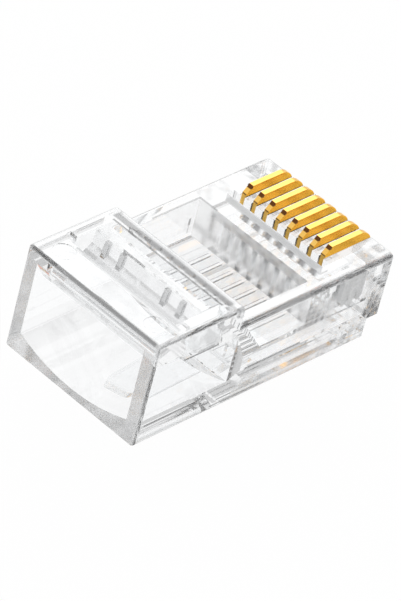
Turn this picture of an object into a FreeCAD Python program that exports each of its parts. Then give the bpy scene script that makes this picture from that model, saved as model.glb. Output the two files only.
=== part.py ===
"""Clear eight-contact modular cable plug.

The plug lies along Y: the cable goes in at Y = 0 and the nose is at the far
end. X runs across its width, with 0 on the centre line. Z = 0 is the flat
latch side of the moulding and the contacts stand up towards +Z.
"""
import FreeCAD, Part
import math
import os
import Sketcher

# Driving dimensions in millimetres, angles in degrees: name, value, meaning.
SIZES = [
    ("body_width", 11.68, "whole width of the moulding"),
    ("body_length", 21.97, "cable end to nose"),
    ("rear_height", 7.95, "height of the tall cable end"),
    ("rear_length", 7.85, "length of the tall cable end"),
    ("nose_height", 6.45, "height of the low front part"),
    ("chin_height", 1.45, "height of the set-back lower nose"),
    ("chin_setback", 1.00, "how far the lower nose stands back"),
    ("edge_radius", 0.28, "rounding of the outer edges"),
    ("crossbar_radius", 0.40, "rounding of the step and of the low top edges"),
    ("side_wall", 1.04, "side wall of the cable cavity"),
    ("entry_height", 7.05, "top of the cable entry at the rear face"),
    ("entry_depth", 0.85, "length of the sloped lead-in of the entry"),
    ("ceiling_height", 5.77, "top of the cable cavity behind the lead-in"),
    ("floor_thickness", 0.55, "floor under the cable on the centre line"),
    ("floor_radius", 12.40, "hollow of the floor across the width"),
    ("cavity_length", 8.20, "rear face to the start of the funnel"),
    ("funnel_length", 1.50, "length of the funnel into the channels"),
    ("funnel_height", 5.16, "top of the funnel mouth, under the crossbar"),
    ("throat_lift", 0.10, "funnel's small end above the lowest point of the channels"),
    ("funnel_overlap", 0.15, "how far the channels reach back into the funnel"),
    ("window_start", 2.50, "rear edge of the clamp window on top"),
    ("window_width", 9.50, "width of the clamp window"),
    ("relief_width", 0.60, "notch beside each rear corner of the window"),
    ("relief_length", 0.35, "length of that notch"),
    ("relief_depth", 0.70, "depth of that notch"),
    ("crossbar_width", 1.45, "bar between the clamp window and the step"),
    ("pocket_gap", 0.30, "ledge between the bar and the front pocket"),
    ("pocket_width", 9.70, "width of the front pocket"),
    ("pocket_floor", 3.40, "height of the front pocket's floor"),
    ("pocket_slope", 2.45, "run of the pocket's sloped rear wall"),
    ("pocket_end", 14.75, "front wall of the pocket from the rear face"),
    ("channel_width", 0.80, "width of one wire channel"),
    ("channel_height", 1.16, "height of one wire channel"),
    ("channel_bottom", 1.47, "lowest point of the wire channels"),
    ("channel_front", 0.95, "plastic between channel ends and nose face"),
    ("pitch", 1.016, "spacing of channels and contacts"),
    ("pin_mark_radius", 0.80, "ejector pin mark on the rear band"),
    ("pin_mark_depth", 0.06, "depth of an ejector pin mark"),
    ("pin_mark_spread", 4.10, "pin mark from the centre line"),
    ("pin_mark_place", 1.45, "pin mark from the rear face"),
    ("blade_thickness", 0.35, "sheet thickness of a contact"),
    ("blade_clearance", 0.03, "gap on each side of a contact in its slot"),
    ("slot_gap", 0.09, "gap behind a contact in its slot"),
    ("trough_length", 0.66, "groove across the top behind the contacts"),
    ("trough_depth", 1.50, "depth of that groove"),
    ("trough_width", 8.60, "width of that groove"),
    ("blade_travel", 1.10, "how far a contact is pressed in"),
    ("contact_top", 7.18, "top of a contact before it is pressed in"),
    ("contact_rear", 17.42, "rear edge of a contact from the rear face"),
    ("contact_front_gap", 0.07, "contact's front edge behind the nose face"),
    ("contact_wing", 1.72, "height of the contact's wide upper part"),
    ("contact_nose_radius", 1.35, "rounding of the contact's front corner"),
    ("chamfer_run", 0.50, "length of a contact's sloped rear corner"),
    ("chamfer_drop", 0.55, "height of that corner"),
    ("chamfer_bend", 0.35, "from the contact's rear edge to the bend in the corner"),
    ("chamfer_bend_drop", 0.18, "height of the corner above its bend"),
    ("tine_start", 1.38, "first tine from the contact's rear edge"),
    ("tine_pitch", 0.72, "spacing of the three tines"),
    ("tine_width", 0.66, "width of one tine at its root"),
    ("tine_flat", 0.10, "half width of a tine at its tip"),
    ("tine_length", 0.80, "length of the outer tines"),
    ("tine_extra", 0.30, "how much longer the middle tine is"),
    ("tine_shoulder", 0.40, "straight outer side of an outer tine"),
    ("tine_tip", 2.64, "height of the middle tine's tip"),
    ("latch_recess", 0.40, "hollow in the underside over the latch"),
    ("latch_width", 6.05, "width of the latch at its shoulders"),
    ("lever_width", 3.25, "width of the latch lever"),
    ("latch_length", 14.60, "latch hinge to the tip of the lever"),
    ("shoulder_place", 8.40, "locking shoulder behind the nose face"),
    ("latch_thickness", 0.90, "thickness of the latch at its shoulders"),
    ("lever_root", 0.72, "thickness of the lever where it leaves the shoulders"),
    ("latch_root_drop", 0.20, "top of the latch below its hinge axis"),
    ("tip_thickness", 0.70, "thickness of the lever at its tip"),
    ("latch_drop", 2.60, "how far the lever's tip hangs down"),
    ("hinge_radius", 0.40, "rounded root of the latch"),
    ("hinge_clearance", 0.03, "gap round each hinge root"),
    ("hinge_place", 1.97, "latch hinge behind the nose face"),
    ("hinge_height", 0.10, "latch hinge above the flat underside"),
    ("clamp_clearance", 0.12, "gap between the cable clamp and the window"),
    ("clamp_web", 0.22, "radius of the clamp's hinge web"),
    ("clamp_bottom", 5.16, "underside of the clamp before it is pressed"),
    ("clamp_plate", 1.88, "thickness of the clamp's plate at the fin"),
    ("clamp_ramp", 1.45, "run of the sloped part of its underside"),
    ("clamp_fin_height", 7.92, "top of the clamp's front fin"),
    ("clamp_fin_width", 0.80, "thickness of the fin at its top"),
    ("clamp_fin_lean", 0.73, "how far the fin's top leans back"),
    ("clamp_fin_foot", 0.12, "how far the fin's foot reaches behind its top"),
    ("rib_thickness", 0.36, "thickness of a rib behind the fin"),
    ("rib_reach", 0.36, "how far a rib reaches behind the fin's foot"),
    ("rib_top", 0.25, "length of a rib's top behind the fin"),
    ("rib_outer", 3.35, "outer rib from the centre line"),
    ("rib_inner", 1.98, "inner rib from the centre line"),
]
CONTACT_COUNT = 8
SHEET = "Sizes"
OUT = "parts"


class Size:
    """A length with the formula that gives it in the sheet."""

    def __init__(self, value, formula):
        self.value = value
        self.formula = formula

    def joined(self, other, sign, value):
        right = other.formula if isinstance(other, Size) else repr(float(other))
        return Size(value, "(%s %s %s)" % (self.formula, sign, right))

    def __add__(self, other):
        return self.joined(other, "+", self.value + number(other))

    def __sub__(self, other):
        return self.joined(other, "-", self.value - number(other))

    def __mul__(self, other):
        return self.joined(other, "*", self.value * number(other))

    def __truediv__(self, other):
        return self.joined(other, "/", self.value / number(other))

    def __neg__(self):
        return self * -1


def number(thing):
    """The plain value of a Size or of a number."""
    return thing.value if isinstance(thing, Size) else float(thing)


def bind(thing, path, size):
    """Tie one property of a feature to the sheet."""
    formula = size.formula if isinstance(size, Size) else repr(float(size))
    thing.setExpression(path, formula)


def root_of(size):
    """Square root of a Size."""
    return Size(math.sqrt(size.value), "sqrt(%s)" % size.formula)


class Sheet:
    """Reads the driving dimensions back as Size values, by name."""

    def __init__(self, document):
        self.cells = document.addObject("Spreadsheet::Sheet", SHEET)
        self.known = {}
        for row, (name, value, meaning) in enumerate(SIZES, start=1):
            self.cells.set("A%d" % row, meaning)
            self.cells.set("B%d" % row, str(value))
            self.cells.setAlias("B%d" % row, name)
            self.known[name] = Size(value, "%s.%s" % (SHEET, name))
        document.recompute()

    def __getattr__(self, name):
        return self.known[name]


# Sketch and feature helpers

def new_body(document, name):
    """A sub-part whose label is its node name."""
    body = document.addObject("PartDesign::Body", name)
    body.Label = name
    return body


def new_sketch(body, name, plane, offset=None):
    """A sketch on one of the body's own planes, moved along its normal."""
    sketch = body.newObject("Sketcher::SketchObject", name)
    base = [f for f in body.Origin.OriginFeatures if f.Role == plane][0]
    sketch.AttachmentSupport = [(base, "")]
    sketch.MapMode = "FlatFace"
    if offset is not None:
        sketch.AttachmentOffset = FreeCAD.Placement(
            FreeCAD.Vector(0, 0, number(offset)), FreeCAD.Rotation())
        bind(sketch, "AttachmentOffset.Base.z", offset)
    return sketch


def fix_point(sketch, geometry, end, place):
    """Hold one point of a sketch at a pair of sizes from the origin."""
    for kind, size in zip(("DistanceX", "DistanceY"), place):
        value = number(size)
        row = sketch.addConstraint(
            Sketcher.Constraint(kind, -1, 1, geometry, end, value))
        if isinstance(size, Size):
            bind(sketch, "Constraints[%d]" % row, size)


def draw_outline(sketch, points):
    """A closed outline of straight edges, every corner tied to the sheet."""
    vectors = [FreeCAD.Vector(number(a), number(b), 0) for a, b in points]
    first = sketch.GeometryCount
    count = len(points)
    for index in range(count):
        sketch.addGeometry(Part.LineSegment(vectors[index], vectors[(index + 1) % count]))
    for index in range(count):
        following = (index + 1) % count
        sketch.addConstraint(
            Sketcher.Constraint("Coincident", first + index, 2, first + following, 1))
        fix_point(sketch, first + index, 1, points[index])


def draw_circle(sketch, centre, radius):
    """A circle tied to the sheet."""
    middle = FreeCAD.Vector(number(centre[0]), number(centre[1]), 0)
    index = sketch.addGeometry(
        Part.Circle(middle, FreeCAD.Vector(0, 0, 1), number(radius)))
    fix_point(sketch, index, 3, centre)
    row = sketch.addConstraint(Sketcher.Constraint("Radius", index, number(radius)))
    bind(sketch, "Constraints[%d]" % row, radius)


def pad(body, name, sketch, length, symmetric=True, reverse=False):
    """Add material along the sketch normal."""
    feature = body.newObject("PartDesign::Pad", name)
    return finish_feature(feature, sketch, length, symmetric, reverse)


def pocket(body, name, sketch, length, symmetric=True, reverse=False):
    """Take material away, against the sketch normal unless reversed."""
    feature = body.newObject("PartDesign::Pocket", name)
    return finish_feature(feature, sketch, length, symmetric, reverse)


def finish_feature(feature, sketch, length, symmetric, reverse):
    feature.Profile = sketch
    feature.SideType = "Symmetric" if symmetric else "One side"
    feature.Reversed = reverse
    feature.Length = number(length)
    bind(feature, "Length", length)
    sketch.Visibility = False
    return feature


def repeat_across(body, name, feature, spacing):
    """Repeat a feature across the width, once for every contact."""
    pattern = body.newObject("PartDesign::LinearPattern", name)
    pattern.Originals = [feature]
    axis = [f for f in body.Origin.OriginFeatures if f.Role == "X_Axis"][0]
    pattern.Direction = (axis, [""])
    pattern.Mode = "Spacing"
    pattern.Occurrences = CONTACT_COUNT
    pattern.Offset = number(spacing)
    bind(pattern, "Offset", spacing)
    body.Tip = pattern
    return pattern


def mirror_across(body, name, feature):
    """Repeat a feature on the other side of the centre line."""
    mirror = body.newObject("PartDesign::Mirrored", name)
    mirror.Originals = [feature]
    plane = [f for f in body.Origin.OriginFeatures if f.Role == "YZ_Plane"][0]
    mirror.MirrorPlane = (plane, [""])
    body.Tip = mirror
    return mirror


def round_edges(body, name, feature, radius, wanted):
    """Round the edges of a feature whose ends pass the test."""
    body.Document.recompute()
    names = []
    for index, edge in enumerate(feature.Shape.Edges, start=1):
        ends = [vertex.Point for vertex in edge.Vertexes]
        if len(ends) == 2 and wanted(ends[0], ends[1]):
            names.append("Edge%d" % index)
    fillet = body.newObject("PartDesign::Fillet", name)
    fillet.Base = (feature, names)
    fillet.Radius = number(radius)
    bind(fillet, "Radius", radius)
    return fillet


def near(first, second):
    return abs(first - second) < 0.001


# Shared places, each worked out from the driving dimensions

def first_contact(size):
    """X of the contact furthest to the left."""
    return size.pitch * (-(CONTACT_COUNT - 1) / 2.0)


def slot_width(size):
    return size.blade_thickness + size.blade_clearance * 2


def window_end(size):
    return size.rear_length - size.crossbar_width


def contact_front(size):
    return size.body_length - size.contact_front_gap


def slot_rear(size):
    return size.contact_rear - size.slot_gap


def first_tine(size):
    return size.contact_rear + size.tine_start


def blade_front(size):
    """Front edge of the narrow part of a contact."""
    return first_tine(size) + size.tine_pitch * 2 + size.tine_width / 2


def wing_bottom(size):
    return size.contact_top - size.contact_wing


def hinge_centre(size):
    """Latch hinge: its axis lies just inside the flat underside."""
    return (size.body_length - size.hinge_place, size.hinge_height)


def clamp_hinge(size):
    """Clamp hinge: its web lies in the foot of the window's rear slope."""
    return (size.window_start + size.entry_depth,
            size.ceiling_height + size.clamp_web)


# The moulding

def outer_block(body, size):
    """Side view of the moulding: tall cable end, low front, stepped nose."""
    sketch = new_sketch(body, "side_view", "YZ_Plane")
    chin = size.body_length - size.chin_setback
    draw_outline(sketch, [
        (0, 0), (chin, 0), (chin, size.chin_height),
        (size.body_length, size.chin_height), (size.body_length, size.nose_height),
        (size.rear_length, size.nose_height), (size.rear_length, size.rear_height),
        (0, size.rear_height)])
    block = pad(body, "block", sketch, size.body_width)
    half = size.body_width.value / 2
    step = size.rear_length.value
    tall = size.rear_height.value
    low = size.nose_height.value

    def outer_edge(a, b):
        on_side = near(abs(a.x), half) and near(abs(b.x), half) and near(a.x, b.x)
        inner_corner = near(a.y, step) and near(b.y, step)
        ends_at_corner = (near(a.y, step) and near(a.z, low)) or (
            near(b.y, step) and near(b.z, low))
        return on_side and not inner_corner and not ends_at_corner

    def cross_edge(a, b):
        across = not near(a.x, b.x)
        top_step = near(a.y, step) and near(a.z, tall)
        return across and top_step

    def rear_edge(a, b):
        return near(a.y, 0) and near(b.y, 0) and not near(a.x, b.x) and near(a.z, tall)

    def low_side_edge(a, b):
        on_side = near(abs(a.x), half) and near(a.x, b.x)
        return on_side and near(a.z, low) and near(b.z, low)

    rounded = round_edges(body, "low_top_edges", block, size.crossbar_radius, low_side_edge)
    rounded = round_edges(body, "step_edge", rounded, size.crossbar_radius, cross_edge)
    rounded = round_edges(body, "rear_top_edge", rounded, size.edge_radius, rear_edge)
    return round_edges(body, "outer_edges", rounded, size.edge_radius, outer_edge)


def cable_cavity(body, size):
    """Entry with a sloped lead-in, flat ceiling and hollow floor."""
    inner = size.body_width - size.side_wall * 2
    half = inner / 2
    centre_z = size.floor_thickness + size.floor_radius
    side_floor = centre_z - root_of(size.floor_radius * size.floor_radius - half * half)

    straight = new_sketch(body, "cavity_side_view", "YZ_Plane")
    draw_outline(straight, [
        (-size.edge_radius, side_floor), (size.cavity_length, side_floor),
        (size.cavity_length, size.funnel_height),
        (window_end(size), size.funnel_height),
        (window_end(size), size.ceiling_height),
        (size.entry_depth, size.ceiling_height), (0, size.entry_height),
        (-size.edge_radius, size.entry_height)])
    pocket(body, "cavity", straight, inner)

    hollow = new_sketch(body, "floor_hollow", "XZ_Plane")
    draw_floor_arc(hollow, half, side_floor, centre_z, size.floor_radius)
    return pocket(body, "hollow_floor", hollow, size.cavity_length, symmetric=False)


def draw_floor_arc(sketch, half, side_floor, centre_z, radius):
    """The hollow below the side walls: one arc under one straight line."""
    start = math.atan2(side_floor.value - centre_z.value, -half.value)
    end = math.atan2(side_floor.value - centre_z.value, half.value)
    circle = Part.Circle(FreeCAD.Vector(0, centre_z.value, 0), FreeCAD.Vector(0, 0, 1),
                         radius.value)
    arc = sketch.addGeometry(Part.ArcOfCircle(circle, start, end))
    chord = sketch.addGeometry(Part.LineSegment(
        FreeCAD.Vector(half.value, side_floor.value, 0),
        FreeCAD.Vector(-half.value, side_floor.value, 0)))
    sketch.addConstraint(Sketcher.Constraint("Coincident", arc, 2, chord, 1))
    sketch.addConstraint(Sketcher.Constraint("Coincident", arc, 1, chord, 2))
    fix_point(sketch, chord, 1, (half, side_floor))
    fix_point(sketch, chord, 2, (-half, side_floor))
    row = sketch.addConstraint(Sketcher.Constraint("Radius", arc, radius.value))
    bind(sketch, "Constraints[%d]" % row, radius)


def wire_funnel(body, size):
    """Four-sided funnel from the cavity down to the row of channels."""
    inner = size.body_width - size.side_wall * 2
    mouth_half = inner / 2
    throat_half = (size.pitch * (CONTACT_COUNT - 1) + size.channel_width) / 2
    centre_z = size.floor_thickness + size.floor_radius
    mouth_floor = centre_z - root_of(size.floor_radius * size.floor_radius
                                     - mouth_half * mouth_half)
    channel_top = size.channel_bottom + size.channel_height
    throat_floor = size.channel_bottom + size.throat_lift
    mouth = new_sketch(body, "funnel_mouth", "XZ_Plane", -size.cavity_length)
    draw_outline(mouth, [
        (-mouth_half, mouth_floor), (mouth_half, mouth_floor),
        (mouth_half, size.funnel_height), (-mouth_half, size.funnel_height)])
    throat = new_sketch(body, "funnel_throat", "XZ_Plane",
                        -(size.cavity_length + size.funnel_length))
    draw_outline(throat, [
        (-throat_half, throat_floor), (throat_half, throat_floor),
        (throat_half, channel_top), (-throat_half, channel_top)])
    loft = body.newObject("PartDesign::SubtractiveLoft", "funnel")
    loft.Profile = mouth
    loft.Sections = [throat]
    loft.Ruled = True
    mouth.Visibility = False
    throat.Visibility = False
    return loft


def clamp_window(body, size):
    """Window over the cable cavity, with a sloped rear wall."""
    sketch = new_sketch(body, "window_side_view", "YZ_Plane")
    above = size.rear_height + size.edge_radius
    hinge_y, hinge_z = clamp_hinge(size)
    draw_outline(sketch, [
        (size.window_start, above), (size.window_start, size.rear_height),
        (hinge_y, hinge_z), (hinge_y, size.ceiling_height - size.edge_radius),
        (window_end(size), size.ceiling_height - size.edge_radius),
        (window_end(size), above)])
    pocket(body, "window", sketch, size.window_width)
    groove = new_sketch(body, "clamp_hinge_groove", "YZ_Plane")
    draw_circle(groove, (hinge_y, hinge_z), size.clamp_web + size.hinge_clearance)
    pocket(body, "clamp_groove", groove, size.window_width)
    relief = new_sketch(body, "corner_relief_view", "YZ_Plane")
    start = size.window_start + size.relief_length
    draw_outline(relief, [
        (start, above), (start, size.rear_height - size.relief_depth),
        (start + size.relief_length, size.rear_height - size.relief_depth),
        (start + size.relief_length, above)])
    return pocket(body, "corner_reliefs", relief, size.window_width + size.relief_width * 2)


def front_pocket(body, size):
    """Pocket in front of the step: sloped rear wall, flat clear floor."""
    start = size.rear_length + size.pocket_gap
    above = size.nose_height + size.edge_radius
    sketch = new_sketch(body, "pocket_side_view", "YZ_Plane")
    draw_outline(sketch, [
        (start, above), (start, size.nose_height),
        (start + size.pocket_slope, size.pocket_floor),
        (size.pocket_end, size.pocket_floor), (size.pocket_end, above)])
    return pocket(body, "front_pocket", sketch, size.pocket_width)


def wire_channels(body, size):
    """One flat-roofed channel for every wire, with thin ribs between them."""
    start = size.cavity_length + size.funnel_length - size.funnel_overlap
    length = size.body_length - size.channel_front - start
    left = first_contact(size) - size.channel_width / 2
    right = first_contact(size) + size.channel_width / 2
    top = size.channel_bottom + size.channel_height
    sketch = new_sketch(body, "channel_section", "XZ_Plane", -start)
    draw_outline(sketch, [
        (left, size.channel_bottom), (right, size.channel_bottom), (right, top), (left, top)])
    channel = pocket(body, "channel", sketch, length, symmetric=False)
    return repeat_across(body, "channels", channel, size.pitch)


def contact_slots(body, size):
    """Slots that the contacts slide down in, open at the top and the nose."""
    rear = slot_rear(size)
    above = size.nose_height + size.edge_radius * 2
    beyond = size.body_length + size.edge_radius
    ledge = wing_bottom(size) - size.blade_travel - size.blade_clearance
    deep_end = blade_front(size) + size.blade_clearance
    middle_of_channel = size.channel_bottom + size.channel_height / 2
    sketch = new_sketch(body, "slot_side_view", "YZ_Plane", first_contact(size))
    draw_outline(sketch, [
        (rear, above), (rear, middle_of_channel), (deep_end, middle_of_channel),
        (deep_end, ledge), (beyond, ledge), (beyond, above)])
    slot = pocket(body, "slot", sketch, slot_width(size))
    return repeat_across(body, "slots", slot, size.pitch)


def contact_trough(body, size):
    """Groove across the top, open to the rear ends of all the slots."""
    rear = slot_rear(size) - size.trough_length
    above = size.nose_height + size.edge_radius
    sketch = new_sketch(body, "trough_side_view", "YZ_Plane")
    draw_outline(sketch, [
        (rear, above), (rear, size.nose_height - size.trough_depth),
        (slot_rear(size), size.nose_height - size.trough_depth), (slot_rear(size), above)])
    return pocket(body, "contact_trough", sketch, size.trough_width)


def latch_seat(body, size):
    """Shallow hollow over the latch, and the groove its root turns in."""
    hinge_y, hinge_z = hinge_centre(size)
    start = size.cavity_length + size.funnel_length + size.latch_recess
    width = size.latch_width + size.latch_recess
    sketch = new_sketch(body, "recess_side_view", "YZ_Plane")
    draw_outline(sketch, [
        (start, 0), (start + size.latch_recess, size.latch_recess),
        (hinge_y - size.latch_thickness, size.latch_recess),
        (hinge_y, 0), (hinge_y, -size.latch_recess), (start, -size.latch_recess)])
    pocket(body, "latch_recess", sketch, width)
    groove = new_sketch(body, "latch_hinge_groove", "YZ_Plane")
    draw_circle(groove, (hinge_y, hinge_z), size.hinge_radius + size.hinge_clearance)
    return pocket(body, "latch_groove", groove, width)


def pin_marks(body, size):
    """Two shallow round marks on the rear band."""
    sketch = new_sketch(body, "pin_mark_view", "XY_Plane",
                        size.rear_height - size.pin_mark_depth)
    for side in (-1, 1):
        draw_circle(sketch, (size.pin_mark_spread * side, size.pin_mark_place),
                    size.pin_mark_radius)
    return pocket(body, "pin_marks", sketch, size.pin_mark_depth * 2,
                  symmetric=False, reverse=True)


def make_housing(document, size):
    """The clear moulding that holds everything."""
    body = new_body(document, "housing")
    outer_block(body, size)
    cable_cavity(body, size)
    wire_funnel(body, size)
    clamp_window(body, size)
    front_pocket(body, size)
    wire_channels(body, size)
    contact_slots(body, size)
    contact_trough(body, size)
    latch_seat(body, size)
    pin_marks(body, size)
    return body


# The pieces that the moulding carries

def make_contact(document, size, index):
    """One contact blade: wide top, narrow blade and three piercing tines."""
    name = "contact_%d" % (index + 1)
    body = new_body(document, name)
    x = first_contact(size) + size.pitch * index
    top = size.contact_top
    rear = size.contact_rear
    front = contact_front(size)
    wing = wing_bottom(size)
    tine = first_tine(size)
    blade_rear = tine - size.tine_width / 2
    tip = size.tine_tip + size.tine_extra
    root = tip + size.tine_length
    shoulder = root - size.tine_shoulder
    flat = size.tine_flat
    valley = tine + size.tine_pitch / 2
    points = [
        (rear, wing), (rear, top - size.chamfer_drop),
        (rear + size.chamfer_bend, top - size.chamfer_bend_drop),
        (rear + size.chamfer_run, top), (front, top), (front, wing),
        (blade_front(size), wing), (blade_front(size), shoulder)]
    for step, tip_height in ((2, tip), (1, size.tine_tip), (0, tip)):
        place = tine + size.tine_pitch * step
        points.append((place + flat, tip_height))
        points.append((place - flat, tip_height))
        if step:
            points.append((valley + size.tine_pitch * (step - 1), root))
    points.append((blade_rear, shoulder))
    points.append((blade_rear, wing))
    sketch = new_sketch(body, name + "_side_view", "YZ_Plane", x)
    draw_outline(sketch, points)
    sheet = pad(body, name + "_sheet", sketch, size.blade_thickness)
    front_y = front.value
    top_z = top.value

    def front_corner(a, b):
        return near(a.y, front_y) and near(a.z, top_z) and not near(a.x, b.x)

    round_edges(body, name + "_nose", sheet, size.contact_nose_radius, front_corner)
    return body


def make_latch(document, size):
    """Sprung latch: round root, wide shoulders and a narrow lever."""
    body = new_body(document, "latch")
    hinge_y, hinge_z = hinge_centre(size)
    tip_y = hinge_y - size.latch_length
    shoulder_y = size.body_length - size.shoulder_place
    top_root = hinge_z - size.latch_root_drop
    fall = size.latch_drop / size.latch_length

    def top_at(y):
        return top_root - (hinge_y - y) * fall

    shoulder_top = top_at(shoulder_y)
    shoulder_low = shoulder_top - size.latch_thickness
    tip_top = top_at(tip_y)
    root = new_sketch(body, "latch_root_view", "YZ_Plane")
    draw_circle(root, (hinge_y, hinge_z), size.hinge_radius)
    pad(body, "latch_root", root, size.latch_width)
    wide = new_sketch(body, "latch_shoulder_view", "YZ_Plane")
    draw_outline(wide, [
        (hinge_y, hinge_z - size.hinge_radius),
        (hinge_y - size.latch_root_drop, top_at(hinge_y - size.latch_root_drop)),
        (shoulder_y, shoulder_top), (shoulder_y, shoulder_low)])
    pad(body, "latch_shoulders", wide, size.latch_width)
    narrow = new_sketch(body, "latch_lever_view", "YZ_Plane")
    overlap = shoulder_y + size.latch_thickness
    draw_outline(narrow, [
        (overlap, top_at(overlap)), (tip_y, tip_top),
        (tip_y, tip_top - size.tip_thickness), (shoulder_y, shoulder_low),
        (overlap, top_at(overlap) - size.lever_root)])
    lever = pad(body, "latch_lever", narrow, size.lever_width)
    tip_line = tip_y.value
    half = size.lever_width.value / 2

    def tip_corner(a, b):
        return near(a.y, tip_line) and near(b.y, tip_line) and near(abs(a.x), half) and near(
            a.x, b.x)

    round_edges(body, "latch_tip", lever, size.tip_thickness, tip_corner)
    return body


def make_clamp(document, size):
    """Cable clamp: plate, leaning front fin and four ribs."""
    body = new_body(document, "jacket_clamp")
    hinge_y, hinge_z = clamp_hinge(size)
    width = size.window_width - size.clamp_clearance * 2
    front = window_end(size) - size.clamp_clearance
    plate_top = size.clamp_bottom + size.clamp_plate
    fin_front = front - size.clamp_fin_lean
    fin_rear = fin_front - size.clamp_fin_width
    foot = fin_rear - size.clamp_fin_foot
    web = new_sketch(body, "clamp_web_view", "YZ_Plane")
    draw_circle(web, (hinge_y, hinge_z), size.clamp_web)
    pad(body, "clamp_hinge_web", web, width)
    side = new_sketch(body, "clamp_side_view", "YZ_Plane")
    draw_outline(side, [
        (hinge_y, hinge_z - size.clamp_web), (hinge_y + size.clamp_ramp, size.clamp_bottom),
        (front, size.clamp_bottom), (front, hinge_z), (fin_front, size.clamp_fin_height),
        (fin_rear, size.clamp_fin_height), (foot, plate_top),
        (hinge_y, hinge_z + size.clamp_web)])
    pad(body, "clamp_plate", side, width)
    low = plate_top - size.clamp_web
    for label, place in (("outer_rib", size.rib_outer), ("inner_rib", size.rib_inner)):
        sketch = new_sketch(body, label + "_view", "YZ_Plane", place)
        draw_outline(sketch, [
            (foot + size.clamp_web, low), (fin_rear + size.clamp_web, size.clamp_fin_height),
            (fin_rear - size.rib_top, size.clamp_fin_height), (foot - size.rib_reach, low)])
        rib = pad(body, label, sketch, size.rib_thickness)
        mirror_across(body, label + "_mirrored", rib)
    return body


# Checks and files

def check_document(document, bodies):
    """Stop with a plain message if anything failed to build."""
    for thing in document.Objects:
        if "Invalid" in thing.State or "Error" in thing.State:
            raise RuntimeError("%s failed: %s" % (thing.Name, thing.State))
    for body in bodies:
        shape = body.Shape
        if shape.isNull() or not shape.isValid() or not shape.Solids:
            raise RuntimeError("%s has no valid solid" % body.Label)


def write_parts(bodies):
    os.makedirs(OUT, exist_ok=True)
    for body in bodies:
        body.Shape.exportStep(os.path.join(OUT, body.Label + ".step"))
        print("%-14s %8.3f mm3  solids %d" % (
            body.Label, body.Shape.Volume, len(body.Shape.Solids)))


def main():
    document = FreeCAD.newDocument("modular_plug")
    size = Sheet(document)
    bodies = [make_housing(document, size), make_latch(document, size),
              make_clamp(document, size)]
    for index in range(CONTACT_COUNT):
        bodies.append(make_contact(document, size, index))
    document.recompute()
    check_document(document, bodies)
    write_parts(bodies)


main()
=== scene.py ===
"""Finishes and studio for a clear modular cable plug.

The plug is one clear moulding with a hinged cable clamp, a sprung latch and a row
of gold-plated contacts. Every solid keeps its own shape here and gets its finish.
The file is laid out as an add-on and is run as a script. Lengths are in metres,
apart from the zones' places and edges, which are in millimetres.
"""

import math
from collections import namedtuple

import bpy
from mathutils import Matrix, Vector


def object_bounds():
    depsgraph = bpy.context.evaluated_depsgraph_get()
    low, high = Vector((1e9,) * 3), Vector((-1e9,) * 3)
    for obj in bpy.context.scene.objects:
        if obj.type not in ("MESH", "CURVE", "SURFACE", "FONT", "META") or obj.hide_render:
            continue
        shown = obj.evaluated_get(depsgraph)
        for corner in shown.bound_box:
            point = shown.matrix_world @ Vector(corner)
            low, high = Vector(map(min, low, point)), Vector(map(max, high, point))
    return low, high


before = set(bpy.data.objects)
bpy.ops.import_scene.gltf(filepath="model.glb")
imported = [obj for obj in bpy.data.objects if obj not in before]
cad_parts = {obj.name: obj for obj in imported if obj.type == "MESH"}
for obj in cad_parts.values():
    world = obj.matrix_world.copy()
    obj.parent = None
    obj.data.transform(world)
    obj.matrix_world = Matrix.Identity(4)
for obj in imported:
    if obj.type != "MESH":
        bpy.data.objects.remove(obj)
CAD_BOX = [list(corner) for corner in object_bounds()]
CONTACTS = sorted(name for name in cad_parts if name.startswith("contact_"))

bl_info = {
    "name": "Clear Modular Plug",
    "version": (1, 0, 0),
    "blender": (4, 5, 0),
    "location": "3D View > Sidebar > Plug",
    "description": "Finishes and studio for a clear modular cable plug",
    "category": "Object",
}

MM = 0.001
PITCH = 1.016 * MM
LIGHT_BOUNCES = 40


# Settings

class PlugPlasticSettings(bpy.types.PropertyGroup):
    """The clear moulded plastic."""

    tint: bpy.props.FloatVectorProperty(
        name="Tint", description="Colour of the clear plastic", subtype="COLOR",
        default=(0.991, 0.996, 1.0), min=0.0, max=1.0)
    polish: bpy.props.FloatProperty(
        name="Polish", description="Roughness of the polished faces",
        default=0.012, min=0.0, max=1.0, subtype="FACTOR")
    refraction: bpy.props.FloatProperty(
        name="Refraction", description="How strongly the plastic bends light",
        default=1.585, min=1.0, max=2.0)
    frost: bpy.props.FloatProperty(
        name="Frost", description="Scales the roughness of the eroded walls",
        default=1.0, min=0.0, max=2.0)
    frost_tint: bpy.props.FloatVectorProperty(
        name="Frost tint", description="Colour of the smears on the eroded walls",
        subtype="COLOR", default=(0.90, 0.90, 0.905), min=0.0, max=1.0)
    # painted shade: the dark colour that edges, lines and streaks on the clear plastic are
    # darkened toward, in place of dark refractions
    painted_shade_colour: bpy.props.FloatVectorProperty(
        name="Edge shade", description="Colour of the shaded edges, lines and smears",
        subtype="COLOR", default=(0.05, 0.05, 0.052), min=0.0, max=1.0)
    # painted shade: how far the rounded outer edges are darkened toward that colour
    edge_depth: bpy.props.FloatProperty(
        name="Edge depth", description="How strongly the rounded outer edges are shaded",
        default=0.35, min=0.0, max=1.0, subtype="FACTOR")
    depth_grey: bpy.props.FloatProperty(
        name="Depth grey", description="How fast long paths in the plastic turn grey, per metre",
        default=5.0, min=0.0)
    haze_size: bpy.props.FloatProperty(
        name="Haze size", description="Size of the faint cloudy patches",
        default=2.2 * MM, min=0.1 * MM, unit="LENGTH", precision=5)
    flow_size: bpy.props.FloatProperty(
        name="Flow line size", description="Width of the faint flow lines of the moulding",
        default=0.8 * MM, min=0.05 * MM, unit="LENGTH", precision=5)
    flow_depth: bpy.props.FloatProperty(
        name="Flow line depth", description="Height of the flow lines",
        default=0.00015 * MM, min=0.0, unit="LENGTH", precision=7)


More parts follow.
